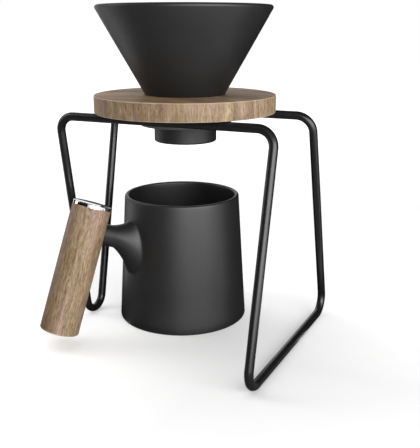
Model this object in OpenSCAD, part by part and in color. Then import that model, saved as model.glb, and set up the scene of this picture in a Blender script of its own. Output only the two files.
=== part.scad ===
// Pour-over coffee maker: a ceramic dripper cone in a wooden collar, carried by a stand of
// bent rod, over a ceramic mug with a wooden grip. Millimetres, +Z up. The origin is on the
// floor under the dripper's axis; the rails run along X and the open front faces -Y.

/* [Stand] */
// Diameter of the bent steel rod
rod_d = 6; // [5:0.5:7]
// Distance between the axes of the two top rails
rail_gap = 73; // [70:1:82]
// Height of the top of the rails above the floor
rail_top = 164.4; // [155:0.2:185]
// Distance from the dripper's axis to each end of the rails
rail_reach = 81; // [78:1:90]
// Distance from the dripper's axis to the wide foot's floor rail
wide_reach = 82; // [78:1:92]
// Width of the wide foot between its corners
wide_foot = 158; // [120:1:180]
// Distance from the dripper's axis to the narrow foot's floor rail
narrow_reach = 84; // [80:1:92]
// Width of the narrow foot between its corners
narrow_foot = 17; // [15:0.5:40]
// Bend radius at the ends of the rails, on the rod's axis
rail_bend = 12; // [8:0.5:16]
// Bend radius at the wide foot, on the rod's axis
wide_bend = 12; // [8:0.5:16]
// Bend radius at the narrow foot, on the rod's axis
narrow_bend = 10; // [6:0.5:10]

/* [Collar] */
// Diameter of the wooden collar
collar_d = 126; // [116:1:136]
// Thickness of the wooden collar
collar_t = 12; // [10:0.5:18]
// Rounding of the collar's edges
collar_round = 1.6; // [0.5:0.1:3]
// Height of the ring under the collar
ring_h = 9; // [6:0.5:12]
// Rounding of the ring's lower outer edge
ring_round = 1.5; // [0.5:0.1:2.5]
// Number of screws that hold the ring
screw_count = 3; // [3:1:6]
// Direction of the first screw, from +X
screw_turn = 30; // [0:5:120]
// Shank diameter of the ring's screws
screw_d = 3.2; // [2.5:0.1:4]
// Head diameter of the ring's screws
screw_head_d = 6.4; // [5:0.1:7]
// Depth that the screws reach into the wood
screw_bite = 6; // [4:0.5:9]

/* [Dripper] */
// Outer diameter of the dripper's rim
rim_d = 120; // [110:1:130]
// Full angle of the cone, set by the paper filter
cone_angle = 59; // [58:1:62]
// Outer diameter of the cone where it leaves the collar
seat_d = 55.6; // [52:0.2:58]
// Wall thickness of the cone
cone_wall = 3.5; // [2.5:0.1:4.5]
// Diameter of the drip spigot under the collar
spigot_d = 43.6; // [38:0.2:46]
// Length of the spigot below the collar
spigot_drop = 20.4; // [14:0.2:24]
// Wall thickness of the spigot's skirt
skirt_wall = 3.5; // [2.5:0.1:4.5]
// Rounding of the spigot's lower edges
spigot_round = 1.2; // [0.5:0.1:1.2]
// Diameter of the drip hole
drip_hole_d = 16; // [10:0.5:20]
// Height of the drip hole's edge above the spigot's lower edge
drip_lift = 1; // [0.5:0.1:2]
// Number of ribs that keep the paper off the wall
rib_count = 12; // [6:1:20]
// Height of a rib above the wall
rib_h = 1.2; // [0.6:0.1:2]
// Angle that a rib spans round the cone
rib_span = 3.5; // [2:0.5:6]
// Distance from the rim to the ribs' upper ends
rib_start = 14; // [8:1:24]

/* [Mug] */
// Outer diameter of the mug's rim
mug_rim_d = 87.8; // [80:0.2:94]
// Outer diameter of the mug's base
mug_base_d = 99.6; // [90:0.2:104]
// Height of the mug
mug_h = 97.8; // [88:0.2:110]
// Wall thickness of the mug
mug_wall = 3.2; // [2.4:0.1:4.5]
// Thickness of the mug's floor
mug_floor = 5; // [3.5:0.1:7]
// Rounding of the mug's lower outer edge
mug_round = 1.6; // [0.5:0.1:3]
// Rounding between the mug's wall and floor inside
mug_fillet = 7; // [3:0.5:12]
// Width of the foot ring that the mug stands on
foot_w = 5; // [3:0.5:8]
// Depth of the recess inside the foot ring
foot_recess = 1.2; // [0.5:0.1:2]
// Place of the mug along the rails, from the dripper's axis
mug_x = -19.5; // [-22:0.5:5]
// Place of the mug across the rails, from the dripper's axis
mug_y = 30.4; // [0:0.2:32]

/* [Handle] */
// Direction of the handle round the mug, from +X
handle_turn = 242.5; // [235:0.5:270]
// Lean of the grip, with its foot away from the mug
handle_tilt = 19.3; // [10:0.1:25]
// Clear gap between the mug's wall and the grip at the neck
finger_gap = 24.7; // [20:0.1:32]
// Distance from the mug's rim down to the neck's axis at the grip
neck_drop = 15.5; // [12:0.1:24]
// Diameter of the neck at the grip
neck_d = 15.8; // [14:0.2:20]
// Fall of the neck from the grip to the mug, as an angle
neck_fall = 21.5; // [12:0.5:26]
// Distance from the grip's axis to the start of the neck's flare
flare_start = 19; // [18:0.5:26]
// Power by which the flare grows
flare_power = 1.9; // [1.2:0.05:3]
// Widening of the neck at the mug's wall, upwards
flare_up = 8.4; // [2:0.1:10]
// Widening of the neck at the mug's wall, downwards
flare_down = 21.8; // [6:0.1:24]
// Widening of the neck at the mug's wall, to each side
flare_side = 5; // [2:0.1:10]
// Diameter of the wooden grip
grip_d = 27.8; // [24:0.2:32]
// Length of the grip's wood above the neck's axis
grip_top = 17.3; // [15:0.1:30]
// Height of the grip's lowest point above the floor
grip_lift = 6.6; // [3:0.2:20]
// Rounding of the grip's lower end
grip_round = 1.5; // [1:0.5:6]
// Thickness of the cap on the grip
cap_t = 2.6; // [1.6:0.1:4]
// Rounding of the cap's upper edge
cap_round = 0.8; // [0.3:0.1:1.5]
// Diameter of the cap's plug inside the grip
plug_d = 10; // [8:0.5:14]
// Length of the cap's plug
plug_len = 7; // [4:0.5:8]
// Diameter of the neck's tenon inside the grip
tenon_d = 12; // [10:0.5:13]
// Length of the tenon past the grip's axis
tenon_past = 6.5; // [5:0.5:9]
// Diameter of the steel rod that pins the tenon
pin_d = 4; // [3:0.5:5]
// Wall thickness of the soft sleeve round the rod in the tenon
bush_wall = 1.2; // [0.8:0.1:1.5]
// Diameter of the brass insert, and of the bore that it goes down
insert_d = 7; // [6:0.5:9]
// Length of the brass insert
insert_len = 10; // [6:0.5:14]
// Wood between the tenon and the insert
insert_depth = 3; // [2:0.5:6]

/* [Clearances] */
// Gap between the collar and the rails that it lies on
rest_gap = 0.3; // [0.2:0.05:0.5]
// Gap between the cone and its seat in the collar
seat_gap = 0.3; // [0.2:0.05:0.5]
// Gap between the ring and the rails on either side of it
ring_side_gap = 1.2; // [0.5:0.1:2]
// Gap between the spigot and the ring's bore
spigot_gap = 1; // [0.5:0.1:2]
// Gap round the tenon in the grip, and between the neck and the grip
tenon_gap = 0.15; // [0.05:0.05:0.3]

/* [Hidden] */
$fn = 96;

// A length by which a cutting shape passes the face that it cuts
over = 1;
// A length that cuts right through the handle
through = 120;
// Steps in a rounded edge, in a bend of the rod and in the neck's flare
round_steps = 6;
bend_steps = 10;
flare_steps = 10;
// Sides of the rod and of the neck
rod_sides = 24;
neck_sides = 32;

// Heights
rail_z = rail_top - rod_d / 2;
collar_z = rail_top + rest_gap;
seat_z = collar_z + collar_t;
ring_z = collar_z - ring_h;
spigot_z = collar_z - spigot_drop;
neck_z = mug_h - neck_drop;

// Dripper cone: a round lip of the wall's thickness, tangent to both sides of the wall
lean = cone_angle / 2;
lip_r = cone_wall / 2;
lip_z = cone_z(rim_d / 2 - lip_r + lip_r / cos(lean));
rim_z = lip_z + lip_r;
wall_across = cone_wall / cos(lean);
rib_across = rib_h / cos(lean);
seat_across = seat_gap / cos(lean);
drip_z = spigot_z + drip_lift;
skirt_r = spigot_d / 2 - skirt_wall;
// The hollow under the cone ends where it is this wide
groove_w = 1.4;
// Depth that a rib is set into the wall, and the length over which its ends rise from it
rib_bed = cone_wall / 3;
rib_run = 2 * rib_h;

// Ring and screws
ring_r = (rail_gap - rod_d) / 2 - ring_side_gap;
ring_bore_r = max(spigot_d / 2, cone_r(collar_z)) + spigot_gap;
screw_circle_r = (ring_r + ring_bore_r) / 2;
screw_head_h = (screw_head_d - screw_d) / 2;
// Crossed slots in the screws' heads
screw_slot_w = screw_d / 4;
screw_slot_l = screw_d * 1.2;

// Mug and handle
mug_rim_r = mug_rim_d / 2;
mug_base_r = mug_base_d / 2;
grip_r = grip_d / 2;
handle_reach = mug_r(neck_z) + finger_gap + grip_r;
grip_low = (neck_z - grip_lift - grip_r * sin(handle_tilt)) / cos(handle_tilt);
bush_r = pin_d / 2 + bush_wall;
insert_top = -tenon_d / 2 - insert_depth;
pin_low = insert_top - insert_len;
// The cap's plug covers the rod's upper end by this much
pin_cover = plug_len / 3;
pin_high = grip_top - pin_cover;
// The neck starts inside the grip and runs on past the mug's wall, and both ends are trimmed
wall_s = finger_gap + grip_r;
neck_past = 5;
neck_from = grip_r / 2;
neck_to = wall_s + neck_past;

function unit(v) = v / norm(v);
// Points of an arc about c from angle a0 to a1
function arc(c, r, a0, a1, n) =
  [for (i = [0:n]) let (a = a0 + (a1 - a0) * i / n) c + r * [cos(a), sin(a)]];
// Outer radius of the cone at height z
function cone_r(z) = seat_d / 2 + (z - seat_z) * tan(lean);
// Height at which the cone's outer radius is r
function cone_z(r) = seat_z + (r - seat_d / 2) / tan(lean);
// Outer radius of the mug at height z
function mug_r(z) = mug_base_r + (mug_rim_r - mug_base_r) * z / mug_h;
// Share of the neck's widening at a distance s from the grip's axis, 1 at the mug's wall
function flare(s) = s > flare_start ? pow((s - flare_start) / (wall_s - flare_start), flare_power) : 0;
// Elliptical ring of the neck at a distance s from the grip's axis, in the mug's frame
function neck_ring(s) =
  let (grow = flare(s), wide = neck_d / 2 + flare_side * grow,
    tall = neck_d / 2 / cos(neck_fall) + (flare_up + flare_down) / 2 * grow,
    z = neck_z - s * tan(neck_fall) + (flare_up - flare_down) / 2 * grow)
  [for (j = [0:neck_sides - 1]) let (a = j * 360 / neck_sides)
    [handle_reach - s, wide * sin(a), z + tall * cos(a)]];
// Angle between the two runs that meet at b
function corner(a, b, c) = acos(unit(a - b) * unit(c - b));
// A bend's radius, kept within the runs on either side of it
function bend_fit(a, b, c, r) =
  min(r, min(norm(a - b), norm(c - b)) / 2 * tan(corner(a, b, c) / 2));
// Places and directions along a bend of radius r at b, on the way from a to c
function bend(a, b, c, r) =
  let (u = unit(a - b), half = corner(a, b, c) / 2,
    centre = b + unit(u + unit(c - b)) * r / sin(half),
    x = unit(b + u * r / tan(half) - centre))
  [for (i = [0:bend_steps]) let (g = (180 - 2 * half) * i / bend_steps)
    [centre + r * (cos(g) * x - sin(g) * u), -sin(g) * x - cos(g) * u]];
// Places and directions along a rod through the points p, with a bend at each inner one
function rod_way(p, radii) =
  let (last = len(p) - 1)
  concat(
    [[p[0], unit(p[1] - p[0])]],
    [for (i = [1:last - 1])
      each bend(p[i - 1], p[i], p[i + 1], bend_fit(p[i - 1], p[i], p[i + 1], radii[i - 1]))],
    [[p[last], unit(p[last] - p[last - 1])]]);
// Part of n that is square to the direction t
function square_to(n, t) = unit(n - (n * t) * t);
// Rings of points round the way, none twisted against the one before
function rod_rings(way) =
  let (normals = [for (i = 0, n = [0, 0, 1]; i < len(way); i = i + 1,
    n = i < len(way) ? square_to(n, way[i][1]) : n) n])
  [for (i = [0:len(way) - 1]) let (n = normals[i], side = cross(way[i][1], n))
    [for (j = [0:rod_sides - 1]) let (a = j * 360 / rod_sides)
      way[i][0] + rod_d / 2 * (cos(a) * n + sin(a) * side)]];

// Closed skin over a row of rings that all have the same number of points
module skin(rings) {
  n = len(rings[0]);
  last = len(rings) - 1;
  polyhedron(
    [for (ring = rings) each ring],
    concat(
      [[for (j = [0:n - 1]) j]],
      [for (k = [0:last - 1], j = [0:n - 1])
        let (a = k * n + j, b = k * n + (j + 1) % n)
        each [[a, a + n, b + n], [a, b + n, b]]],
      [[for (j = [n - 1:-1:0]) last * n + j]]));
}

// Half of the stand's loop, on the side that side gives (1 or -1)
module hoop(side, reach, foot, foot_bend) {
  corners = [[0, -rail_gap / 2, rail_z], [side * rail_reach, -rail_gap / 2, rail_z],
    [side * reach, -foot / 2, rod_d / 2], [side * reach, foot / 2, rod_d / 2],
    [side * rail_reach, rail_gap / 2, rail_z], [0, rail_gap / 2, rail_z]];
  color("#26262a")
    skin(rod_rings(rod_way(corners, [rail_bend, foot_bend, foot_bend, rail_bend])));
}

module wide_hoop() { hoop(1, wide_reach, wide_foot, wide_bend); }

module narrow_hoop() { hoop(-1, narrow_reach, narrow_foot, narrow_bend); }

// Places its children at each of the ring's screws
module at_screws() {
  for (i = [0:screw_count - 1])
    rotate([0, 0, screw_turn + i * 360 / screw_count])
      translate([screw_circle_r, 0, ring_z])
        children();
}

// Shape of a countersunk screw, from the ring's lower face upwards
module screw_shape() {
  cylinder(d1 = screw_head_d, d2 = screw_d, h = screw_head_h);
  cylinder(d = screw_d, h = ring_h + screw_bite);
}

// Round wooden collar with the cone's seat
module wood_collar() {
  r = collar_d / 2;
  c = collar_round;
  bore_r = max(spigot_d / 2 + seat_gap, cone_r(collar_z) + seat_across);
  step_z = cone_z(bore_r - seat_across);
  color("#a88e74")
    difference() {
      rotate_extrude()
        polygon(concat(
          [[0, collar_z]],
          arc([r - c, collar_z + c], c, -90, 0, round_steps),
          arc([r - c, seat_z - c], c, 0, 90, round_steps),
          [[0, seat_z]]));
      rotate_extrude()
        polygon([[0, collar_z - over], [bore_r, collar_z - over], [bore_r, step_z],
          [cone_r(seat_z + over) + seat_across, seat_z + over], [0, seat_z + over]]);
      at_screws() screw_shape();
    }
}

// Black ring under the collar, between the rails
module base_ring() {
  c = ring_round;
  color("#242427")
    difference() {
      rotate_extrude()
        polygon(concat(
          [[ring_bore_r, collar_z], [ring_bore_r, ring_z]],
          arc([ring_r - c, ring_z + c], c, -90, 0, round_steps),
          [[ring_r, collar_z]]));
      at_screws() screw_shape();
    }
}

// Countersunk screws with crossed slots
module ring_screws() {
  slot = [screw_slot_l, screw_slot_w, screw_head_h];
  color("#3a3a3e")
    at_screws()
      difference() {
        screw_shape();
        for (turn = [0, 90])
          rotate([0, 0, turn])
            cube(slot, center = true);
      }
}

// Ribs on the inside of the cone
module cone_ribs() {
  low = cone_z(drip_hole_d / 2 + wall_across) + rib_run;
  high = rim_z - rib_start;
  bed = rib_bed / cos(lean);
  inner_low = cone_r(low) - wall_across;
  inner_high = cone_r(high) - wall_across;
  for (i = [0:rib_count - 1])
    rotate([0, 0, i * 360 / rib_count])
      rotate_extrude(angle = rib_span)
        polygon([[inner_low + bed, low], [inner_high + bed, high], [inner_high, high],
          [cone_r(high - rib_run) - wall_across - rib_across, high - rib_run],
          [cone_r(low + rib_run) - wall_across - rib_across, low + rib_run], [inner_low, low]]);
}

// Ceramic cone with a round lip, the drip hole at its tip and a skirt round the tip
module dripper_cone() {
  c = spigot_round;
  spigot_r = spigot_d / 2;
  hole_r = drip_hole_d / 2;
  groove_z = cone_z(skirt_r - groove_w);
  lip = [rim_d / 2 - lip_r, lip_z];
  color("#2c2c2e") {
    rotate_extrude()
      polygon(concat(
        arc([spigot_r - c, spigot_z + c], c, -90, 0, round_steps),
        [[spigot_r, cone_z(spigot_r)]],
        arc(lip, lip_r, -lean, 180 - lean, 2 * round_steps),
        [[hole_r, cone_z(hole_r + wall_across)], [hole_r, drip_z], [cone_r(drip_z), drip_z],
         [skirt_r - groove_w, groove_z], [skirt_r, groove_z], [skirt_r, spigot_z + c]],
        arc([skirt_r + c, spigot_z + c], c, 180, 270, round_steps)));
    cone_ribs();
  }
}

// Places its children in the mug's frame, with +X towards the handle
module in_mug() {
  translate([mug_x, mug_y, 0])
    rotate([0, 0, handle_turn])
      children();
}

// Places its children in the grip's frame: +Z up the grip, -X along the neck to the mug
module in_handle() {
  in_mug()
    translate([handle_reach, 0, neck_z])
      rotate([0, -handle_tilt, 0])
        children();
}

// Wall, floor and foot of the mug
module mug_shell() {
  t = mug_wall;
  c = mug_round;
  f = mug_fillet;
  foot_r = mug_base_r - c - foot_w;
  inner_r = mug_r(mug_floor + f) - t;
  rotate_extrude()
    polygon(concat(
      [[0, foot_recess], [foot_r, foot_recess], [foot_r, 0]],
      arc([mug_base_r - c, c], c, -90, 0, round_steps),
      arc([mug_rim_r - t / 2, mug_h - t / 2], t / 2, 0, 180, 2 * round_steps),
      arc([inner_r - f, mug_floor + f], f, 0, -90, round_steps),
      [[0, mug_floor]]));
}

// Flared neck between the grip and the middle of the mug's wall
module mug_neck() {
  mid = mug_wall / 2;
  flared = [for (i = [0:flare_steps]) flare_start + (neck_to - flare_start) * i / flare_steps];
  difference() {
    in_mug()
      skin([for (s = concat([neck_from], flared)) neck_ring(s)]);
    in_mug()
      translate([0, 0, -over])
        cylinder(r1 = mug_r(-over) - mid, r2 = mug_r(mug_h + over) - mid, h = mug_h + 2 * over);
    in_handle()
      cylinder(r = grip_r + tenon_gap, h = through, center = true);
  }
}

// Tenon that goes into the grip, with the hole that the rod passes through
module neck_tenon() {
  in_handle()
    difference() {
      rotate([0, -90, 0])
        translate([0, 0, -tenon_past])
          cylinder(d = tenon_d, h = tenon_past + flare_start);
      cylinder(r = bush_r, h = through, center = true);
    }
}

// Ceramic mug with its neck and tenon
module mug_body() {
  color("#2c2c2e") {
    in_mug() mug_shell();
    mug_neck();
    neck_tenon();
  }
}

// Wooden grip with its bore, the recess for the cap's plug and the mortise for the tenon
module handle_grip() {
  c = grip_round;
  color("#9c8066")
    in_handle()
      difference() {
        rotate_extrude()
          polygon(concat(
            [[0, -grip_low]],
            arc([grip_r - c, c - grip_low], c, -90, 0, round_steps),
            [[grip_r, grip_top], [0, grip_top]]));
        translate([0, 0, pin_low])
          cylinder(d = insert_d, h = grip_top - pin_low + over);
        translate([0, 0, grip_top - plug_len])
          cylinder(d = plug_d, h = plug_len + over);
        rotate([0, -90, 0])
          translate([0, 0, -tenon_past - tenon_gap])
            cylinder(d = tenon_d + 2 * tenon_gap, h = tenon_past + grip_d);
      }
}

// Polished cap whose plug takes the rod's upper end
module handle_cap() {
  c = cap_round;
  color("#d9dadc")
    in_handle()
      difference() {
        rotate_extrude()
          polygon(concat(
            [[0, grip_top - plug_len], [plug_d / 2, grip_top - plug_len], [plug_d / 2, grip_top],
             [grip_r, grip_top]],
            arc([grip_r - c, grip_top + cap_t - c], c, 0, 90, round_steps),
            [[0, grip_top + cap_t]]));
        translate([0, 0, grip_top - plug_len - over])
          cylinder(d = pin_d, h = pin_high - grip_top + plug_len + over);
      }
}

// Steel rod from the cap, through the tenon, into the insert
module handle_pin() {
  color("#b9bbbe")
    in_handle()
      translate([0, 0, pin_low])
        cylinder(d = pin_d, h = pin_high - pin_low);
}

// Brass insert at the bottom of the grip's bore
module pin_insert() {
  color("#b5904a")
    in_handle()
      translate([0, 0, pin_low])
        difference() {
          cylinder(d = insert_d, h = insert_len);
          translate([0, 0, -over])
            cylinder(d = pin_d, h = insert_len + 2 * over);
        }
}

// Soft sleeve round the rod inside the tenon
module tenon_bush() {
  color("#4a4a4c")
    in_handle()
      difference() {
        cylinder(r = bush_r, h = tenon_d, center = true);
        cylinder(d = pin_d, h = through, center = true);
      }
}

wide_hoop();
narrow_hoop();
wood_collar();
base_ring();
ring_screws();
dripper_cone();
mug_body();
handle_grip();
handle_cap();
handle_pin();
pin_insert();
tenon_bush();
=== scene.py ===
import math

import bmesh
import bpy
from mathutils import Matrix, Vector


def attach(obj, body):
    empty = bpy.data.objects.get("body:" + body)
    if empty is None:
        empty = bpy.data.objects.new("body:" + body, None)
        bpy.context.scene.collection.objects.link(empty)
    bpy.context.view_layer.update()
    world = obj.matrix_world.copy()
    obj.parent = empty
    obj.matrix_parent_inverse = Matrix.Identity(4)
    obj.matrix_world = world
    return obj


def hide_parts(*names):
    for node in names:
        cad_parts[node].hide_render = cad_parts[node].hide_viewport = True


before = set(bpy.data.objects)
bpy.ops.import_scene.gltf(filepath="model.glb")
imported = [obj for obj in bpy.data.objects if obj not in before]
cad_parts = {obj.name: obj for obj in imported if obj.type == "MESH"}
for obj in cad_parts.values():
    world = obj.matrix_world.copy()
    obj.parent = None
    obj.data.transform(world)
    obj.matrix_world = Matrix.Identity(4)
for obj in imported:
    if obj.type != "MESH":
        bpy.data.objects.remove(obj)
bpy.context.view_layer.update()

# Sizes of the pieces in millimetres and angles in radians. They follow the part's source, but the
# collar's round and the neck's flare are worked out more finely here.
MM = 0.001
ROD_R, RAIL_GAP, RAIL_TOP, RAIL_REACH = 3.0, 73.0, 164.4, 81.0
WIDE_REACH, WIDE_FOOT, NARROW_REACH, NARROW_FOOT = 82.0, 158.0, 84.0, 17.0
RAIL_BEND, WIDE_BEND, NARROW_BEND = 12.0, 12.0, 10.0
COLLAR_R, COLLAR_Z, COLLAR_TOP, COLLAR_ROUND = 63.0, 164.7, 176.7, 0.7
RING_R, RING_BORE_R, RING_Z, RING_ROUND = 32.3, 22.8, 155.7, 1.5
SCREWS, SCREW_R, SCREW_HEAD_R, SCREW_BITE, SCREW_TURN = 3, 1.6, 3.2, 6.0, math.radians(30)
SCREW_SINK, HOLE_SPARE, HOLE_PAST = 0.2, 0.08, 0.1
LEAN, SEAT_R, RIM_R, CONE_WALL, SEAT_GAP = math.radians(29.5), 27.8, 60.0, 3.5, 0.3
SPIGOT_R, SPIGOT_Z, SKIRT_WALL, SPIGOT_ROUND, GROOVE_W = 21.8, 144.3, 3.5, 1.2, 1.4
DRIP_R, DRIP_LIFT = 8.0, 1.0
RIBS, RIB_H, RIB_SPAN, RIB_START, RIB_RUN = 12, 1.2, math.radians(3.5), 14.0, 2.4
MUG_X, MUG_Y, MUG_TURN = -19.5, 30.4, math.radians(242.5)
MUG_RIM_R, MUG_BASE_R, MUG_H, MUG_WALL, MUG_FLOOR = 43.9, 49.8, 97.8, 3.2, 5.0
MUG_ROUND, MUG_FILLET, FOOT_W, FOOT_RECESS = 1.6, 7.0, 5.0, 1.2
TILT, FINGER_GAP, NECK_DROP, NECK_R, NECK_FALL = math.radians(19.3), 24.7, 15.5, 7.9, math.radians(21.5)
FLARE_START, FLARE_END, FLARE_POWER = 21.3, 39.35, 1.25
FLARE_UP, FLARE_DOWN, FLARE_SIDE, FLARE_SWAY = 10.1, 33.3, 8.0, -1.7
GRIP_R, GRIP_TOP, GRIP_LIFT, GRIP_ROUND = 13.9, 17.3, 6.6, 1.5
CAP_T, CAP_ROUND, PLUG_R, PLUG_LEN, PIN_R = 2.6, 0.8, 5.0, 7.0, 2.0
TENON_R, TENON_PAST, TENON_GAP, BUSH_R, BORE_R = 6.0, 6.5, 0.15, 3.2, 3.5
INSERT_DEPTH, INSERT_LEN = 3.0, 10.0

# How far a cut runs past what it cuts, and how far the neck runs into the mug before it is cut off.
CUT_PAST, CUT_THROUGH, NECK_IN = 1.0, 60.0, 8.0

# Sides of what is turned or swept, and steps along the neck's flare and round a bend of the rod.
ROD_SIDES, SCREW_SIDES, COLLAR_SIDES, RING_SIDES, CONE_SIDES, RIB_SIDES = 40, 32, 192, 128, 240, 16
MUG_SIDES, NECK_SIDES, GRIP_SIDES, BAR_SIDES = 192, 96, 128, 64
FLARE_STEPS, BEND_STEPS = 40, 24


def mug_r(z):
    """Radius of the mug's outside at a height."""
    return MUG_BASE_R + (MUG_RIM_R - MUG_BASE_R) * z / MUG_H


def cone_r(z):
    """Radius of the cone's outside at a height."""
    return SEAT_R + (z - COLLAR_TOP) * math.tan(LEAN)


def cone_z(r):
    """Height at which the cone's outside has a radius."""
    return COLLAR_TOP + (r - SEAT_R) / math.tan(LEAN)


# The handle: its own frame has the grip along Z and the neck's axis at its origin.
NECK_Z = MUG_H - NECK_DROP
HANDLE_REACH = mug_r(NECK_Z) + FINGER_GAP + GRIP_R
GRIP_LOW = (NECK_Z - GRIP_LIFT - GRIP_R * math.sin(TILT)) / math.cos(TILT)
IN_MUG = Matrix.Translation((MUG_X, MUG_Y, 0)) @ Matrix.Rotation(MUG_TURN, 4, "Z")
IN_HANDLE = IN_MUG @ Matrix.Translation((HANDLE_REACH, 0, NECK_Z)) @ Matrix.Rotation(-TILT, 4, "Y")

# Most of a noise lies between these.
NOISE_LOW, NOISE_HIGH = 0.3, 0.7


def linear(hex_colour):
    """An sRGB hex colour as the linear RGBA that Blender's sockets take."""
    shares = [int(hex_colour[i:i + 2], 16) / 255 for i in (1, 3, 5)]
    return [s / 12.92 if s <= 0.04045 else ((s + 0.055) / 1.055) ** 2.4 for s in shares] + [1.0]


def add(tree, kind, inputs=None, **settings):
    """Adds a node to a tree, sets what it is given, and links or sets its inputs, by name or number.
    A map range takes a value, the two ends it comes from and the two it goes to as 0 to 4. A mix takes
    its share as 0, and two numbers as 2 and 3 or two colours as 6 and 7."""
    node = tree.nodes.new(kind)
    for key, value in settings.items():
        setattr(node, key, value)
    for key, value in (inputs or {}).items():
        if isinstance(value, bpy.types.NodeSocket):
            tree.links.new(value, node.inputs[key])
        else:
            node.inputs[key].default_value = value
    return node


def new_material(name):
    """A material with its node tree and its main shader."""
    material = bpy.data.materials.new(name)
    material.use_nodes = True
    tree = material.node_tree
    return material, tree, tree.nodes["Principled BSDF"]


def satin_skin(name, colour, roughness):
    """Powder-coated steel, or moulded rubber where it is rough: an even skin whose fine orange peel
    softens its highlight."""
    material, tree, shader = new_material(name)
    place = add(tree, "ShaderNodeTexCoord").outputs["Object"]
    # peel about 0.7 mm across
    peel = add(tree, "ShaderNodeTexNoise", {"Vector": place, "Scale": 1 / (0.7 * MM), "Detail": 2.0})
    cloud = add(tree, "ShaderNodeTexNoise", {"Vector": place, "Scale": 1 / (14 * MM), "Detail": 3.0})
    rough = add(tree, "ShaderNodeMapRange", {0: cloud.outputs["Fac"], 1: NOISE_LOW, 2: NOISE_HIGH,
                                             3: roughness - 0.04, 4: roughness + 0.05})
    bump = add(tree, "ShaderNodeBump", {"Height": peel.outputs["Fac"], "Strength": 0.25,
                                        "Distance": 0.03 * MM})
    shader.inputs["Base Color"].default_value = linear(colour)
    shader.inputs["IOR"].default_value = 1.5
    tree.links.new(rough.outputs[0], shader.inputs["Roughness"])
    tree.links.new(bump.outputs["Normal"], shader.inputs["Normal"])
    return material


def matt_ceramic(name, colour, roughness, ior):
    """Stoneware under a matt black glaze: velvety, with faint clouds and a fine grit, which is drawn
    about 0.5 mm wide, coarser than a real one, to show."""
    material, tree, shader = new_material(name)
    place = add(tree, "ShaderNodeTexCoord").outputs["Object"]
    cloud = add(tree, "ShaderNodeTexNoise", {"Vector": place, "Scale": 1 / (22 * MM), "Detail": 4.0})
    grit = add(tree, "ShaderNodeTexNoise", {"Vector": place, "Scale": 1 / (0.5 * MM), "Detail": 3.0})
    tint = add(tree, "ShaderNodeMapRange", {0: grit.outputs["Fac"], 1: 0.35, 2: 0.65, 3: 0.92, 4: 1.08})
    shade = add(tree, "ShaderNodeMix", {6: linear(colour), 7: tint.outputs[0], 0: 1.0},
                data_type="RGBA", blend_type="MULTIPLY")
    rough = add(tree, "ShaderNodeMapRange", {0: cloud.outputs["Fac"], 1: NOISE_LOW, 2: NOISE_HIGH,
                                             3: roughness - 0.03, 4: roughness + 0.04})
    bump = add(tree, "ShaderNodeBump", {"Height": grit.outputs["Fac"], "Strength": 0.15,
                                        "Distance": 0.02 * MM})
    tree.links.new(shade.outputs[2], shader.inputs["Base Color"])
    tree.links.new(rough.outputs[0], shader.inputs["Roughness"])
    tree.links.new(bump.outputs["Normal"], shader.inputs["Normal"])
    shader.inputs["IOR"].default_value = ior
    return material


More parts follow.
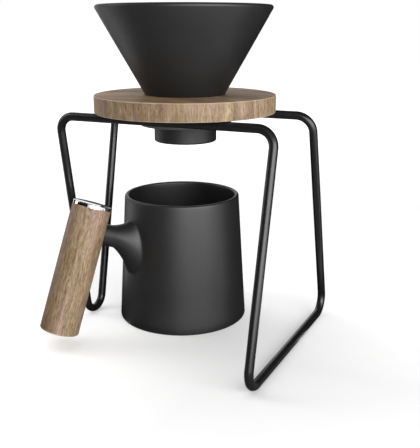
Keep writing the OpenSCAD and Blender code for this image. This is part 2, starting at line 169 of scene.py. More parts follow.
def oiled_walnut(name, stops, pith, heart_mm, heart_depth):
    """Oiled walnut, pale and greyish: uneven rings cut as streaks along the fibre, short dark pores,
    and pinkish and golden patches. The mesh's grain attribute gives millimetres with the fibre
    along Z, end is 1 on end grain, and the wood is darker within heart_mm of the pith."""
    material, tree, shader = new_material(name)
    grain = add(tree, "ShaderNodeAttribute", attribute_name="grain").outputs["Vector"]
    end = add(tree, "ShaderNodeAttribute", attribute_name="end").outputs["Fac"]
    edge_highlight = add(tree, "ShaderNodeAttribute", attribute_name="edge_highlight").outputs["Fac"]

    # the fibres sway by 7 mm in long waves, and less in shorter curls
    swayed = grain
    for across_mm, along_mm, sway_mm in ((30, 70, 7), (14, 22, 3), (6, 8, 1.2)):
        size = (1 / across_mm, 1 / across_mm, 1 / along_mm)
        waves = add(tree, "ShaderNodeVectorMath", {0: grain, 1: size}, operation="MULTIPLY").outputs[0]
        sway = add(tree, "ShaderNodeTexNoise", {"Vector": waves, "Scale": 1.0,
                                                "Detail": 1.0}).outputs["Color"]
        sway = add(tree, "ShaderNodeVectorMath", {0: sway, 1: (0.5, 0.5, 0.5)},
                   operation="SUBTRACT").outputs[0]
        swayed = add(tree, "ShaderNodeVectorMath", {0: sway, 1: (sway_mm, sway_mm, 0), 2: swayed},
                     operation="MULTIPLY_ADD").outputs[0]

    # fibres, pores, paler patches and patches of hue, by their millimetres across and along the fibre;
    # fibres and pores are drawn about twice as wide as real ones, to show at this size
    figures = []
    for source, across_mm, along_mm, detail, roughness in (
            (swayed, 0.9, 8, 3.0, 0.65), (swayed, 0.85, 3.2, 2.0, 0.5),
            (swayed, 9, 55, 2.0, 0.5), (grain, 9, 40, 1.0, 0.5)):
        size = (1 / across_mm, 1 / across_mm, 1 / along_mm)
        place = add(tree, "ShaderNodeVectorMath", {0: source, 1: size}, operation="MULTIPLY").outputs[0]
        figures.append(add(tree, "ShaderNodeTexNoise", {"Vector": place, "Scale": 1.0, "Detail": detail,
                                                        "Roughness": roughness}).outputs["Fac"])
    fibre, pores, patch, hue = figures

    # years about 2 mm wide, in spells of good and bad ones
    from_pith = add(tree, "ShaderNodeVectorMath", {0: swayed, 1: pith}, operation="SUBTRACT").outputs[0]
    across = add(tree, "ShaderNodeVectorMath", {0: from_pith, 1: (1, 1, 0)}, operation="MULTIPLY").outputs[0]
    radius = add(tree, "ShaderNodeVectorMath", {0: across}, operation="LENGTH").outputs["Value"]
    years = add(tree, "ShaderNodeTexNoise", {"W": radius, "Scale": 1 / 6, "Detail": 4.0, "Roughness": 0.75},
                noise_dimensions="1D").outputs["Fac"]
    years = add(tree, "ShaderNodeMapRange", {0: years, 1: 0.38, 2: 0.62, 3: 0.33, 4: 0.67}).outputs[0]
    spells = add(tree, "ShaderNodeTexNoise", {"W": radius, "Scale": 1 / 20, "Detail": 1.0},
                 noise_dimensions="1D").outputs["Fac"]
    spells = add(tree, "ShaderNodeMapRange", {0: spells, 1: 0.35, 2: 0.65, 3: 0.38, 4: 0.78}).outputs[0]

    # on end grain the years show as rings, and the spells as paler and darker bands
    streaked = add(tree, "ShaderNodeMapRange", {0: end, 3: 0.6, 4: 0.3}).outputs[0]
    tone = add(tree, "ShaderNodeMix", {0: streaked, 2: years, 3: fibre}).outputs[0]
    tone = add(tree, "ShaderNodeMix", {0: 0.25, 2: tone, 3: patch}).outputs[0]
    banded = add(tree, "ShaderNodeMath", {0: end, 1: 0.45}, operation="MULTIPLY").outputs[0]
    tone = add(tree, "ShaderNodeMix", {0: banded, 2: tone, 3: spells}).outputs[0]
    heart = add(tree, "ShaderNodeMapRange", {0: radius, 1: heart_mm, 2: heart_mm * 1.5,
                                             3: -heart_depth, 4: 0.0}).outputs[0]
    tone = add(tree, "ShaderNodeMath", {0: tone, 1: heart}, operation="ADD").outputs[0]

    # the wood's own browns, its golden to pinkish patches, and end grain, which drinks more oil
    # and is warmer
    colours = []
    for share, marks in ((tone, stops), (hue, [(0.36, "#fffbe5"), (0.64, "#fff4f4")]),
                         (end, [(0.0, "#ffffff"), (1.0, "#fff7f4")])):
        ramp = add(tree, "ShaderNodeValToRGB", {"Fac": share})
        while len(ramp.color_ramp.elements) < len(marks):
            ramp.color_ramp.elements.new(0.5)
        for element, (mark, hex_colour) in zip(ramp.color_ramp.elements, marks):
            element.position = mark
            element.color = linear(hex_colour)
        colours.append(ramp.outputs["Color"])
    colour, tint, oiled = colours
    pore = add(tree, "ShaderNodeMapRange", {0: pores, 1: 0.50, 2: 0.69, 3: 1.0, 4: 0.60}).outputs[0]
    for factor in (tint, oiled, pore):
        colour = add(tree, "ShaderNodeMix", {0: 1.0, 6: colour, 7: factor},
                     data_type="RGBA", blend_type="MULTIPLY").outputs[2]

    # rounded edges are painted pale: a painted highlight along them
    highlight_share = add(tree, "ShaderNodeMath", {0: edge_highlight, 1: 0.4}, operation="MULTIPLY").outputs[0]
    colour = add(tree, "ShaderNodeMix", {0: highlight_share, 6: colour, 7: linear("#d9c9b5")},
                 data_type="RGBA").outputs[2]
    rough = add(tree, "ShaderNodeMapRange", {0: fibre, 1: NOISE_LOW, 2: NOISE_HIGH, 3: 0.52, 4: 0.66})
    height = add(tree, "ShaderNodeMix", {0: 0.5, 2: fibre, 3: pore}).outputs[0]
    bump = add(tree, "ShaderNodeBump", {"Height": height, "Strength": 0.35, "Distance": 0.12 * MM})
    tree.links.new(colour, shader.inputs["Base Color"])
    tree.links.new(rough.outputs[0], shader.inputs["Roughness"])
    tree.links.new(bump.outputs["Normal"], shader.inputs["Normal"])
    shader.inputs["Specular IOR Level"].default_value = 0.35
    return material


def bare_metal(name, colour, roughness, mark_mm):
    """Bare metal with fine marks from turning or polishing that spread its reflection a little."""
    material, tree, shader = new_material(name)
    place = add(tree, "ShaderNodeTexCoord").outputs["Object"]
    marks = add(tree, "ShaderNodeTexNoise", {"Vector": place, "Scale": 1 / (mark_mm * MM), "Detail": 3.0})
    rough = add(tree, "ShaderNodeMapRange", {0: marks.outputs["Fac"], 1: NOISE_LOW, 2: NOISE_HIGH,
                                             3: roughness * 0.8, 4: roughness * 1.25})
    shader.inputs["Base Color"].default_value = linear(colour)
    shader.inputs["Metallic"].default_value = 1.0
    tree.links.new(rough.outputs[0], shader.inputs["Roughness"])
    return material


# Black rods with clear narrow highlights, and under the collar a duller ring, black but painted dark grey as
# a painted sheen.
ROD_BLACK = satin_skin("satin_black_powder_coat", "#141416", 0.29)
RING_BLACK = satin_skin("satin_black_ring_coat_with_painted_sheen", "#444446", 0.42)
# Black glazes as dull as slate; the mug's shines a little more than the dripper's.
DRIPPER_BLACK = matt_ceramic("matt_black_dripper_glaze", "#19191a", 0.48, 1.51)
MUG_BLACK = matt_ceramic("matt_black_mug_glaze", "#19191a", 0.44, 1.57)
# Greyish brown walnut, with an even figure on the collar and a livelier one on the grip.
COLLAR_WOOD = oiled_walnut("oiled_walnut_collar", [(0.30, "#64523e"), (0.42, "#7c6954"), (0.52, "#92806b"),
                                                   (0.66, "#ad9d8a")], (-4, -100, 0), 48, 0.08)
GRIP_WOOD = oiled_walnut("oiled_walnut_grip", [(0.28, "#50402e"), (0.39, "#705d49"), (0.50, "#8f7c69"),
                                               (0.62, "#aa9684")], (14.4, -10.8, 0), 13, 0.11)
# A bright mirror on the grip, and duller metals and a dull rubber where they hardly show.
CAP_CHROME = bare_metal("polished_chrome_cap", "#dcdddf", 0.06, 3.0)
SCREW_STEEL = bare_metal("blackened_steel_screws", "#3c3c40", 0.38, 0.8)
PIN_STEEL = bare_metal("drawn_steel_pin", "#b9bbbe", 0.25, 0.8)
INSERT_BRASS = bare_metal("turned_brass_insert", "#b5904a", 0.3, 0.8)
BUSH_RUBBER = satin_skin("silicone_bush", "#3a3a3c", 0.7)


def new_object(name, data):
    """Puts a mesh, a lamp or a camera into the scene."""
    obj = bpy.data.objects.new(name, data)
    bpy.context.scene.collection.objects.link(obj)
    return obj


def piece(name, mesh, material, body, slot, *nodes, place=Matrix.Identity(4), sharp=35):
    """Turns a mesh in millimetres into a finished piece that stands for CAD nodes."""
    mesh.transform(Matrix.Scale(MM, 4) @ place)
    mesh.validate()
    for polygon in mesh.polygons:
        polygon.use_smooth = True
    mesh.set_sharp_from_angle(angle=math.radians(sharp))
    mesh.materials.clear()
    mesh.materials.append(material)
    obj = new_object(name, mesh)
    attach(obj, body)
    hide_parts(*nodes)


def arc(centre, radius, start, stop, steps):
    """Points (r, z) of an arc between two angles in degrees."""
    return [(centre[0] + radius * math.cos(math.radians(start + (stop - start) * i / steps)),
             centre[1] + radius * math.sin(math.radians(start + (stop - start) * i / steps)))
            for i in range(steps + 1)]


def between(a, b, steps):
    """Points on the line from a to b, without its ends."""
    return [(a[0] + (b[0] - a[0]) * i / steps, a[1] + (b[1] - a[1]) * i / steps) for i in range(1, steps)]


def closed_mesh(name, bm):
    """The mesh of a closed shape, with its faces pointing outwards."""
    bmesh.ops.recalc_face_normals(bm, faces=bm.faces)
    mesh = bpy.data.meshes.new(name)
    bm.to_mesh(mesh)
    bm.free()
    return mesh


def turned(name, profile, sides):
    """A closed mesh turned from a loop of (r, z) points; a point on the axis is one vertex."""
    bm = bmesh.new()
    turns = [math.tau * k / sides for k in range(sides)]
    rings = []
    for r, z in profile:
        if r < 1e-6:
            rings.append([bm.verts.new((0, 0, z))] * sides)
        else:
            rings.append([bm.verts.new((r * math.cos(turn), r * math.sin(turn), z)) for turn in turns])
    for low, high in zip(rings, rings[1:] + rings[:1]):
        for k in range(sides):
            corners = [low[k], low[(k + 1) % sides], high[(k + 1) % sides], high[k]]
            corners = [v for n, v in enumerate(corners) if v not in corners[:n]]
            if len(corners) > 2:
                bm.faces.new(corners)
    return closed_mesh(name, bm)


def loft(name, rings):
    """A closed mesh through rings of points, with a flat face at each end."""
    bm = bmesh.new()
    rows = [[bm.verts.new(p) for p in ring] for ring in rings]
    sides = len(rows[0])
    for low, high in zip(rows, rows[1:]):
        for k in range(sides):
            bm.faces.new((low[k], low[(k + 1) % sides], high[(k + 1) % sides], high[k]))
    bm.faces.new(rows[0])
    bm.faces.new(rows[-1])
    return closed_mesh(name, bm)


def bar_mesh(name, radius, low, high, place, sides=BAR_SIDES):
    """A plain round bar between two heights of its own frame."""
    mesh = turned(name, [(0, low), (radius, low), (radius, high), (0, high)], sides)
    mesh.transform(place)
    return mesh


def combine(mesh, steps):
    """Applies boolean steps of (operation, mesh) to a mesh, one after the other."""
    obj = new_object("combined", mesh)
    tools = []
    for operation, tool_mesh in steps:
        tool = new_object("tool", tool_mesh)
        modifier = obj.modifiers.new(operation, "BOOLEAN")
        modifier.operation, modifier.solver, modifier.object = operation, "EXACT", tool
        tools.append(tool)
    bpy.context.view_layer.update()
    made = bpy.data.meshes.new_from_object(obj.evaluated_get(bpy.context.evaluated_depsgraph_get()))
    for spent in [obj, *tools]:
        bpy.data.objects.remove(spent)
    return made


def give_grain(mesh):
    """Stores the wood's own millimetres, which faces show end grain, and which are rounded edges between
    a flat end and the side that take a painted highlight, before the mesh is placed."""
    grain = mesh.attributes.new("grain", "FLOAT_VECTOR", "POINT")
    grain.data.foreach_set("vector", [c for v in mesh.vertices for c in v.co])
    ups = [abs(p.normal.z) for p in mesh.polygons]
    end = mesh.attributes.new("end", "FLOAT", "FACE")
    end.data.foreach_set("value", [min(1.0, max(0.0, up * 2 - 1)) for up in ups])
    # painted highlight: faces half way between flat and upright, on the rounded edges, are marked to be
    # painted pale
    edge_highlight = mesh.attributes.new("edge_highlight", "FLOAT", "FACE")
    edge_highlight.data.foreach_set("value", [4 * up ** 2 * (1 - up ** 2) for up in ups])
    return mesh


def new_tree(name, sockets):
    """A geometry node tree with named inputs and one mesh output, and its inputs."""
    tree = bpy.data.node_groups.new(name, "GeometryNodeTree")
    for socket, kind in sockets:
        tree.interface.new_socket(socket, in_out="INPUT", socket_type="NodeSocket" + kind)
    tree.interface.new_socket("Mesh", in_out="OUTPUT", socket_type="NodeSocketGeometry")
    return tree, add(tree, "NodeGroupInput").outputs


def end_tree(tree, geometry, finish):
    """Ends a node tree: the geometry is made real, takes its finish and goes out."""
    whole = add(tree, "GeometryNodeRealizeInstances", {"Geometry": geometry})
    coated = add(tree, "GeometryNodeSetMaterial", {"Geometry": whole.outputs["Geometry"], "Material": finish})
    add(tree, "NodeGroupOutput", {"Mesh": coated.outputs["Geometry"]})
    return tree


def rod_tree():
    """Node tree that sweeps a round rod along an edge path."""
    tree, given = new_tree("swept_rod", [("Path", "Geometry"), ("Radius", "Float"), ("Sides", "Int"),
                                         ("Finish", "Material")])
    curve = add(tree, "GeometryNodeMeshToCurve", {"Mesh": given["Path"]})
    ring = add(tree, "GeometryNodeCurvePrimitiveCircle", {"Radius": given["Radius"],
                                                          "Resolution": given["Sides"]})
    swept = add(tree, "GeometryNodeCurveToMesh", {"Curve": curve.outputs["Curve"],
                                                  "Profile Curve": ring.outputs["Curve"], "Fill Caps": True})
    return end_tree(tree, swept.outputs["Mesh"], given["Finish"])


def round_tree():
    """Node tree that sets copies of a piece evenly round the Z axis, from a first angle."""
    tree, given = new_tree("round_the_axis", [("Piece", "Geometry"), ("Count", "Int"), ("First", "Float"),
                                              ("Finish", "Material")])
    points = add(tree, "GeometryNodePoints", {"Count": given["Count"]})
    index = add(tree, "GeometryNodeInputIndex")
    step = add(tree, "ShaderNodeMath", {0: math.tau, 1: given["Count"]}, operation="DIVIDE")
    angle = add(tree, "ShaderNodeMath", {0: index.outputs[0], 1: step.outputs[0], 2: given["First"]},
                operation="MULTIPLY_ADD")
    turn = add(tree, "ShaderNodeCombineXYZ", {"Z": angle.outputs[0]})
    placed = add(tree, "GeometryNodeInstanceOnPoints", {"Points": points.outputs[0],
                                                        "Instance": given["Piece"],
                                                        "Rotation": turn.outputs[0]})
    return end_tree(tree, placed.outputs[0], given["Finish"])


def run_tree(tree, mesh, values):
    """The plain mesh that a node tree makes from a mesh, with its inputs set by name."""
    obj = new_object(tree.name, mesh)
    modifier = obj.modifiers.new(tree.name, "NODES")
    modifier.node_group = tree
    for item in tree.interface.items_tree:
        if item.in_out == "INPUT" and item.name in values:
            modifier[item.identifier] = values[item.name]
    graph = bpy.context.evaluated_depsgraph_get()
    made = bpy.data.meshes.new_from_object(obj.evaluated_get(graph))
    bpy.data.objects.remove(obj)
    return made


def path_mesh(points):
    """A mesh of edges only, from point to point."""
    mesh = bpy.data.meshes.new("way")
    mesh.from_pydata(points, [(i, i + 1) for i in range(len(points) - 1)], [])
    return mesh


def hoop_way(side, reach, foot, foot_bend):
    """Points along the axis of one of the stand's hoops, with an arc at each bend."""
    rail_z = RAIL_TOP - ROD_R
    corners = [Vector(corner) for corner in (
        (0, -RAIL_GAP / 2, rail_z), (side * RAIL_REACH, -RAIL_GAP / 2, rail_z),
        (side * reach, -foot / 2, ROD_R), (side * reach, foot / 2, ROD_R),
        (side * RAIL_REACH, RAIL_GAP / 2, rail_z), (0, RAIL_GAP / 2, rail_z))]
    way = [corners[0]]
    for a, b, c, radius in zip(corners, corners[1:], corners[2:],
                               (RAIL_BEND, foot_bend, foot_bend, RAIL_BEND)):
        back, on = (a - b), (c - b)
        half = back.angle(on) / 2
        radius = min(radius, min(back.length, on.length) / 2 * math.tan(half))
        back, on = back.normalized(), on.normalized()
        centre = b + (back + on).normalized() * radius / math.sin(half)
        outward = (b + back * radius / math.tan(half) - centre).normalized()
        for i in range(BEND_STEPS + 1):
            turn = (math.pi - 2 * half) * i / BEND_STEPS
            way.append(centre + radius * (math.cos(turn) * outward - math.sin(turn) * back))
    way.append(corners[-1])
    return way


# The stand: two hoops of bent rod, which meet under the collar.
ROD_TREE, ROUND_TREE = rod_tree(), round_tree()
for hoop_name, way in (("wide_hoop", hoop_way(1, WIDE_REACH, WIDE_FOOT, WIDE_BEND)),
                       ("narrow_hoop", hoop_way(-1, NARROW_REACH, NARROW_FOOT, NARROW_BEND))):
    swept = run_tree(ROD_TREE, path_mesh(way), {"Radius": ROD_R, "Sides": ROD_SIDES, "Finish": ROD_BLACK})
    piece("rod_" + hoop_name, swept, ROD_BLACK, "stand", "rod_black", hoop_name, sharp=60)

# The screws that hold the ring to the collar, and their holes.
HEAD_H = SCREW_HEAD_R - SCREW_R
ON_CIRCLE = Matrix.Translation(((RING_R + RING_BORE_R) / 2, 0, 0))


def screw_mesh(name, spare, low):
    """A countersunk screw from a height upwards, or with something to spare its hole, on the Z axis."""
    r, head, high = SCREW_R + spare, SCREW_HEAD_R + spare, COLLAR_Z + SCREW_BITE + spare
    return turned(name, [(0, low), (head, low), (r, low + HEAD_H), (r, high - r), (r / 3, high), (0, high)],
                  SCREW_SIDES)


def cross_slot(turn):
    """A bar that cuts one of the crossed slots in a screw's head."""
    bm = bmesh.new()
    bmesh.ops.create_cube(bm, size=1.0)
    mesh = closed_mesh("slot", bm)
    mesh.transform(Matrix.Translation((0, 0, RING_Z)) @ Matrix.Rotation(turn, 4, "Z")
                   @ Matrix.Diagonal((SCREW_R * 2.4, SCREW_R / 2, HEAD_H * 1.2, 1)))
    return mesh


screw = combine(screw_mesh("screw", 0.0, RING_Z + SCREW_SINK),
                [("DIFFERENCE", cross_slot(0)), ("DIFFERENCE", cross_slot(math.pi / 2))])
hole = screw_mesh("hole", HOLE_SPARE, RING_Z - HOLE_PAST)
for mesh in (screw, hole):
    mesh.transform(ON_CIRCLE)
ROUND_SCREWS = {"Count": SCREWS, "First": SCREW_TURN, "Finish": SCREW_STEEL}
screws = run_tree(ROUND_TREE, screw, ROUND_SCREWS)
holes = run_tree(ROUND_TREE, hole, ROUND_SCREWS)
piece("steel_ring_screws", screws, SCREW_STEEL, "collar", "screw_steel", "ring_screws")

# The collar, with a small round on its outer edges and the cone's seat.
BORE_TOP_R = cone_r(COLLAR_TOP) + SEAT_GAP / math.cos(LEAN)
COLLAR_BORE_R = SPIGOT_R + SEAT_GAP
STEP_Z = cone_z(COLLAR_BORE_R - SEAT_GAP / math.cos(LEAN))
collar = (arc((COLLAR_R - COLLAR_ROUND, COLLAR_Z + COLLAR_ROUND), COLLAR_ROUND, -90, 0, 8)
          + arc((COLLAR_R - COLLAR_ROUND, COLLAR_TOP - COLLAR_ROUND), COLLAR_ROUND, 0, 90, 8)
          + between((COLLAR_R - COLLAR_ROUND, COLLAR_TOP), (BORE_TOP_R, COLLAR_TOP), 8)
          + [(BORE_TOP_R, COLLAR_TOP), (COLLAR_BORE_R, STEP_Z), (COLLAR_BORE_R, COLLAR_Z)])
collar_mesh = combine(turned("walnut_collar", collar, COLLAR_SIDES), [("DIFFERENCE", holes)])
piece("walnut_collar", give_grain(collar_mesh), COLLAR_WOOD, "collar", "collar_wood", "wood_collar")

# The ring under the collar.
ring = ([(RING_BORE_R, COLLAR_Z), (RING_BORE_R, RING_Z)]
        + arc((RING_R - RING_ROUND, RING_Z + RING_ROUND), RING_ROUND, -90, 0, 8) + [(RING_R, COLLAR_Z)])
ring_mesh = combine(turned("black_base_ring", ring, RING_SIDES), [("DIFFERENCE", holes)])
piece("black_base_ring", ring_mesh, RING_BLACK, "collar", "ring_black", "base_ring")

# The dripper: a thin cone with a round lip, low ribs inside and a skirt round its tip.
LIP_R = CONE_WALL / 2
LIP_Z = cone_z(RIM_R - LIP_R + LIP_R / math.cos(LEAN))
WALL_ACROSS = CONE_WALL / math.cos(LEAN)
TIP_Z = cone_z(DRIP_R + WALL_ACROSS)
SKIRT_R = SPIGOT_R - SKIRT_WALL
SKIRT_LOW = SPIGOT_Z + SPIGOT_ROUND
DRIP_Z = SPIGOT_Z + DRIP_LIFT
GROOVE_Z = cone_z(SKIRT_R - GROOVE_W)
LEAN_DEG = math.degrees(LEAN)
lip = arc((RIM_R - LIP_R, LIP_Z), LIP_R, -LEAN_DEG, 180 - LEAN_DEG, 14)
cone = (arc((SPIGOT_R - SPIGOT_ROUND, SKIRT_LOW), SPIGOT_ROUND, -90, 0, 6) + [(SPIGOT_R, cone_z(SPIGOT_R))]
        + between((SPIGOT_R, cone_z(SPIGOT_R)), lip[0], 6) + lip + between(lip[-1], (DRIP_R, TIP_Z), 24)
        + [(DRIP_R, TIP_Z), (DRIP_R, DRIP_Z), (cone_r(DRIP_Z), DRIP_Z), (SKIRT_R - GROOVE_W, GROOVE_Z),
           (SKIRT_R, GROOVE_Z), (SKIRT_R, SKIRT_LOW)]
        + arc((SKIRT_R + SPIGOT_ROUND, SKIRT_LOW), SPIGOT_ROUND, 180, 270, 6)[1:])


def rib_ring(share):
    """Points round a rib at a share of its length: an ellipse sunk half into the wall."""
    low, high = TIP_Z + RIB_RUN, LIP_Z + LIP_R - RIB_START
    z = low + (high - low) * share
    rise = RIB_H / math.cos(LEAN) * min(1.0, 0.05 + min(z - low, high - z) / RIB_RUN)
    wall = cone_r(z) - WALL_ACROSS
    half_width = wall * RIB_SPAN / 2
    turns = [math.tau * k / RIB_SIDES for k in range(RIB_SIDES)]
    return [Vector((wall - rise * math.cos(turn), half_width * math.sin(turn), z)) for turn in turns]


# the rings of a rib lie closer together where its ends run out
shares = [0.0, 0.02, 0.04, 0.06] + [0.06 + 0.88 * i / 12 for i in range(1, 12)] + [0.94, 0.96, 0.98, 1.0]
ribs = run_tree(ROUND_TREE, loft("rib", [rib_ring(share) for share in shares]),
                {"Count": RIBS, "First": 0.0, "Finish": DRIPPER_BLACK})
dripper_mesh = combine(turned("ceramic_dripper", cone, CONE_SIDES), [("UNION", ribs)])
piece("ceramic_dripper", dripper_mesh, DRIPPER_BLACK, "dripper", "dripper_ceramic", "dripper_cone")


def neck_ring(s):
    """Points round the neck, an ellipse, at a distance s from the grip's axis, in the mug's frame.
    The flare opens like a bell's mouth and ends in a low rim on the mug's wall."""
    run = min(1.0, max(0.0, (s - FLARE_START) / (FLARE_END - FLARE_START))) ** FLARE_POWER
    flare = 1 - math.sqrt(1 - run)
    wide = NECK_R + FLARE_SIDE * flare
    tall = NECK_R / math.cos(NECK_FALL) + (FLARE_UP + FLARE_DOWN) / 2 * flare
    z = NECK_Z - s * math.tan(NECK_FALL) + (FLARE_UP - FLARE_DOWN) / 2 * flare
    turns = [math.tau * k / NECK_SIDES for k in range(NECK_SIDES)]
    return [Vector((HANDLE_REACH - s, FLARE_SWAY * run + wide * math.sin(turn), z + tall * math.cos(turn)))
            for turn in turns]


# The mug: a turned body, a lofted flaring neck and a drilled tenon, made one.
FOOT_R = MUG_BASE_R - MUG_ROUND - FOOT_W
HALF_WALL = MUG_WALL / 2
LIP_LOW = MUG_H - HALF_WALL
FILLET_Z = MUG_FLOOR + MUG_FILLET
INNER_R = mug_r(FILLET_Z) - MUG_WALL
shell = ([(0, FOOT_RECESS), (FOOT_R, FOOT_RECESS), (FOOT_R, 0)]
         + arc((MUG_BASE_R - MUG_ROUND, MUG_ROUND), MUG_ROUND, -90, 0, 8)
         + between((MUG_BASE_R, MUG_ROUND), (MUG_RIM_R, LIP_LOW), 24)
         + arc((MUG_RIM_R - HALF_WALL, LIP_LOW), HALF_WALL, 0, 180, 14)
         + between((MUG_RIM_R - MUG_WALL, LIP_LOW), (INNER_R, FILLET_Z), 24)
         + arc((INNER_R - MUG_FILLET, FILLET_Z), MUG_FILLET, 0, -90, 10)
         + [(0, MUG_FLOOR)])
mug_mesh = turned("mug", shell, MUG_SIDES)
GRIP_TO_MUG = IN_MUG.inverted() @ IN_HANDLE
ACROSS_GRIP = Matrix.Rotation(-math.pi / 2, 4, "Y")
stations = [FLARE_START + (FLARE_END - FLARE_START) * math.sin(math.pi / 2 * i / FLARE_STEPS)
            for i in range(FLARE_STEPS + 1)]
neck = loft("neck", [neck_ring(s) for s in [GRIP_R / 2, *stations, FLARE_END + NECK_IN]])
CORE_LOW, CORE_HIGH = -CUT_PAST, MUG_H + CUT_PAST
core = turned("core", [(0, CORE_LOW), (mug_r(CORE_LOW) - HALF_WALL, CORE_LOW),
                       (mug_r(CORE_HIGH) - HALF_WALL, CORE_HIGH), (0, CORE_HIGH)], MUG_SIDES)
grip_cut = bar_mesh("grip_cut", GRIP_R + TENON_GAP, -CUT_THROUGH, CUT_THROUGH, GRIP_TO_MUG, GRIP_SIDES)
neck = combine(neck, [("DIFFERENCE", core), ("DIFFERENCE", grip_cut)])
cross_hole = bar_mesh("cross_hole", BUSH_R, -CUT_THROUGH, CUT_THROUGH, GRIP_TO_MUG)
tenon = combine(bar_mesh("tenon", TENON_R, -TENON_PAST, FLARE_START, GRIP_TO_MUG @ ACROSS_GRIP),
                [("DIFFERENCE", cross_hole)])
mug_mesh = combine(mug_mesh, [("UNION", neck), ("UNION", tenon)])
piece("ceramic_mug", mug_mesh, MUG_BLACK, "mug", "mug_ceramic", "mug_body", place=IN_MUG, sharp=30)

# The grip, bored for the rod, plug and tenon.
PLUG_Z = GRIP_TOP - PLUG_LEN
PIN_LOW = -TENON_R - INSERT_DEPTH - INSERT_LEN
grip = ([(0, -GRIP_LOW)] + between((0, -GRIP_LOW), (GRIP_R - GRIP_ROUND, -GRIP_LOW), 4)
        + arc((GRIP_R - GRIP_ROUND, GRIP_ROUND - GRIP_LOW), GRIP_ROUND, -90, 0, 10)
        + between((GRIP_R, GRIP_ROUND - GRIP_LOW), (GRIP_R, GRIP_TOP), 30)
        + [(GRIP_R, GRIP_TOP), (PLUG_R, GRIP_TOP), (PLUG_R, PLUG_Z), (BORE_R, PLUG_Z),
           (BORE_R, PIN_LOW), (0, PIN_LOW)])
mortise = bar_mesh("mortise", TENON_R + TENON_GAP, -TENON_PAST - TENON_GAP, 2 * GRIP_R, ACROSS_GRIP)
grip_mesh = combine(turned("grip", grip, GRIP_SIDES), [("DIFFERENCE", mortise)])
piece("walnut_grip", give_grain(grip_mesh), GRIP_WOOD, "mug", "grip_wood", "handle_grip",
      place=IN_HANDLE, sharp=40)

# The cap, whose plug holds the pin's upper end.
PIN_TOP = GRIP_TOP - PLUG_LEN / 3
cap = ([(0, PIN_TOP), (PIN_R, PIN_TOP), (PIN_R, PLUG_Z), (PLUG_R, PLUG_Z), (PLUG_R, GRIP_TOP),
        (GRIP_R, GRIP_TOP)]
       + arc((GRIP_R - CAP_ROUND, GRIP_TOP + CAP_T - CAP_ROUND), CAP_ROUND, 0, 90, 8)
       + [(0, GRIP_TOP + CAP_T)])
piece("chrome_cap", turned("chrome_cap", cap, GRIP_SIDES), CAP_CHROME, "mug", "cap_chrome", "handle_cap",
      place=IN_HANDLE)

# Pieces whose CAD shape is right keep it, under their own finish.
for node, material in (("handle_pin", PIN_STEEL), ("pin_insert", INSERT_BRASS), ("tenon_bush", BUSH_RUBBER)):
    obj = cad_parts[node]
    obj.data.materials.clear()
    obj.data.materials.append(material)


def seen(tree):
    """1 for the rays that show the background: camera, glossy and transmission rays."""
    path = add(tree, "ShaderNodeLightPath").outputs
    most = add(tree, "ShaderNodeMath", {0: path["Is Camera Ray"], 1: path["Is Glossy Ray"]},
               operation="MAXIMUM")
    return add(tree, "ShaderNodeMath", {0: most.outputs[0], 1: path["Is Transmission Ray"]},
               operation="MAXIMUM").outputs[0]


# The floor: pale and plain, darker where the object shades it, painted lighter to the left and to the back,
# and white far off. Lengths from here on are in metres.
FLOOR_HALF = 4.0
GLOW_NEAR, GLOW_FAR, NEAR_R, FAR_R = 0.12, 1.0, 0.3, 1.0
floor_mesh = bpy.data.meshes.new("floor")
floor_mesh.from_pydata([(x * FLOOR_HALF, y * FLOOR_HALF, 0) for x, y in ((-1, -1), (1, -1), (1, 1), (-1, 1))],
                       [], [(0, 1, 2, 3)])
floor = new_object("floor", floor_mesh)
floor_paint = bpy.data.materials.new("white_floor")
floor_paint.use_nodes = True
floor_tree = floor_paint.node_tree
floor_tree.nodes.clear()
spot = add(floor_tree, "ShaderNodeTexCoord").outputs["Object"]
far = add(floor_tree, "ShaderNodeVectorMath", {0: spot}, operation="LENGTH").outputs["Value"]
axes = add(floor_tree, "ShaderNodeSeparateXYZ", {"Vector": spot}).outputs
glow = add(floor_tree, "ShaderNodeMapRange", {0: far, 1: NEAR_R, 2: FAR_R,
                                              3: GLOW_NEAR, 4: GLOW_FAR}).outputs[0]
# painted light: its glow is brighter to the left and to the back, as light from there would make it
for axis, start, stop, painted_side_light in (("X", 0.05, -0.05, 0.31), ("Y", -0.02, 0.08, 0.34)):
    side = add(floor_tree, "ShaderNodeMapRange", {0: axes[axis], 1: start, 2: stop,
                                                  3: GLOW_NEAR, 4: painted_side_light}).outputs[0]
    glow = add(floor_tree, "ShaderNodeMath", {0: glow, 1: side}, operation="MAXIMUM").outputs[0]
glow = add(floor_tree, "ShaderNodeMath", {0: glow, 1: seen(floor_tree)}, operation="MULTIPLY").outputs[0]
matt = add(floor_tree, "ShaderNodeBsdfDiffuse", {"Color": linear("#e7e7e7")})
white = add(floor_tree, "ShaderNodeEmission", {"Color": linear("#ffffff"), "Strength": glow})
both = add(floor_tree, "ShaderNodeAddShader", {0: matt.outputs[0], 1: white.outputs[0]})
add(floor_tree, "ShaderNodeOutputMaterial", {"Surface": both.outputs[0]})
floor_mesh.materials.append(floor_paint)

# The world: soft even light, and white to the rays that see it.
SKY_LIGHT, SKY_SEEN = 0.17, 1.0
world = bpy.data.worlds.new("studio")
bpy.context.scene.world = world
world.use_nodes = True
sky_tree = world.node_tree
sky_tree.nodes.clear()
strength = add(sky_tree, "ShaderNodeMapRange", {0: seen(sky_tree), 3: SKY_LIGHT, 4: SKY_SEEN}).outputs[0]
sky = add(sky_tree, "ShaderNodeBackground", {"Color": linear("#ffffff"), "Strength": strength})
add(sky_tree, "ShaderNodeOutputWorld", {"Surface": sky.outputs[0]})

AIM = Vector((0, 0, 0.11))


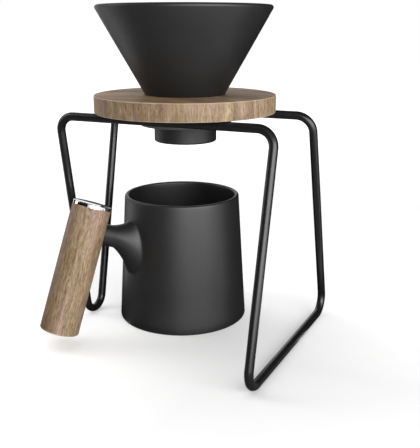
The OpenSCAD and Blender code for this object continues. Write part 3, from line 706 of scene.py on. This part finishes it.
def softbox(name, azimuth, height, distance, width, tall, watts):
    """A large area lamp that looks at the object; azimuth in degrees, 0 from the front."""
    lamp = bpy.data.lights.new(name, "AREA")
    lamp.shape, lamp.size, lamp.size_y, lamp.energy = "RECTANGLE", width, tall, watts
    obj = new_object(name, lamp)
    turn = math.radians(azimuth)
    obj.location = (distance * math.sin(turn), -distance * math.cos(turn), height)
    obj.rotation_mode = "QUATERNION"
    obj.rotation_quaternion = (AIM - obj.location).to_track_quat("-Z", "Y")
    return obj


softbox("key_softbox", azimuth=55, height=0.38, distance=1.0, width=1.3, tall=0.7, watts=15.5)
softbox("edge_softbox", azimuth=288, height=0.5, distance=0.9, width=0.35, tall=0.9, watts=2.4)
top = softbox("top_softbox", azimuth=265, height=1.4, distance=0.45, width=1.7, tall=1.7, watts=15)
# the top lamp lights the matt surfaces only: the black pieces show no bright ceiling
top.visible_glossy = False


def felt(name, colour):
    """Felt: dull, and dark in reflections."""
    material, _, shader = new_material(name)
    shader.inputs["Base Color"].default_value = linear(colour)
    shader.inputs["Roughness"].default_value = 1.0
    return material


def flag(name, cloth, start, stop, inner, outer, centre=(0.0, 0.0), steps=24):
    """A felt flag that only reflections show, to keep the edges of the black pieces dark:
    a strip from one azimuth to another round a centre, between two (radius, height) lines."""
    turns = [math.radians(start + (stop - start) * i / steps) for i in range(steps + 1)]
    x, y = centre
    points = [(x + r * math.sin(turn), y - r * math.cos(turn), z)
              for turn in turns for r, z in (inner, outer)]
    mesh = bpy.data.meshes.new(name)
    mesh.from_pydata(points, [], [(2 * i, 2 * i + 2, 2 * i + 3, 2 * i + 1) for i in range(steps)])
    mesh.materials.append(cloth)
    obj = new_object(name, mesh)
    obj.visible_camera = obj.visible_diffuse = obj.visible_shadow = False


BLACK_FELT, GREY_FELT = felt("black_felt_flag", "#0a0a0a"), felt("grey_felt_flag", "#616161")
FLAG_R, CEILING_R, CEILING_Z, ON_FLOOR, AT_FOOT = 1.5, 1.2, 1.2, 0.0005, 0.001
# standing flags leave the front right to the key lamp, and the back left open, where the cap shows
# the white background
flag("right_flag", BLACK_FELT, 112, 195, (FLAG_R, 0.0), (FLAG_R, 2.5))
flag("left_flag", BLACK_FELT, 255, 368, (FLAG_R, 0.0), (FLAG_R, 1.3))
flag("ceiling_flag", BLACK_FELT, 0, 360, (0.0, CEILING_Z), (CEILING_R, CEILING_Z))
# those on the floor darken what faces down; the short one leaves the edges to the left lighter
for flag_name, cloth, start, stop, inner_r, outer_r in (
        ("back_floor_flag", BLACK_FELT, 112, 253, 0.05, FLAG_R),
        ("left_floor_flag", GREY_FELT, 280, 368, 0.05, FLAG_R),
        ("near_floor_flag", BLACK_FELT, 253, 280, 0.053, 0.15),
        ("front_floor_flag", GREY_FELT, 8, 100, 0.07, 0.31)):
    flag(flag_name, cloth, start, stop, (inner_r, ON_FLOOR), (outer_r, ON_FLOOR))
# painted shade: a black ring round the mug's foot, seen only in reflections, darkens the mug's bottom edge
flag("mug_foot_shade_flag", BLACK_FELT, -30, 190, (0.04, AT_FOOT), (0.065, AT_FOOT), (MUG_X * MM, MUG_Y * MM))

# The camera: the photograph's place, just below the height of the dripper's rim, looking down.
camera = new_object("camera", bpy.data.cameras.new("camera"))
camera.data.sensor_width, camera.data.lens = 36.0, 56.85
camera.data.clip_start, camera.data.clip_end = 0.01, 20
camera.location = (0.23106, -0.44111, 0.22238)
heading, pitch = math.radians(25.655), math.radians(15.669)
look = Vector((-math.sin(heading) * math.cos(pitch), math.cos(heading) * math.cos(pitch), -math.sin(pitch)))
camera.rotation_mode = "QUATERNION"
camera.rotation_quaternion = look.to_track_quat("-Z", "Y")
bpy.context.scene.camera = camera
bpy.context.scene.view_settings.view_transform = "Standard"
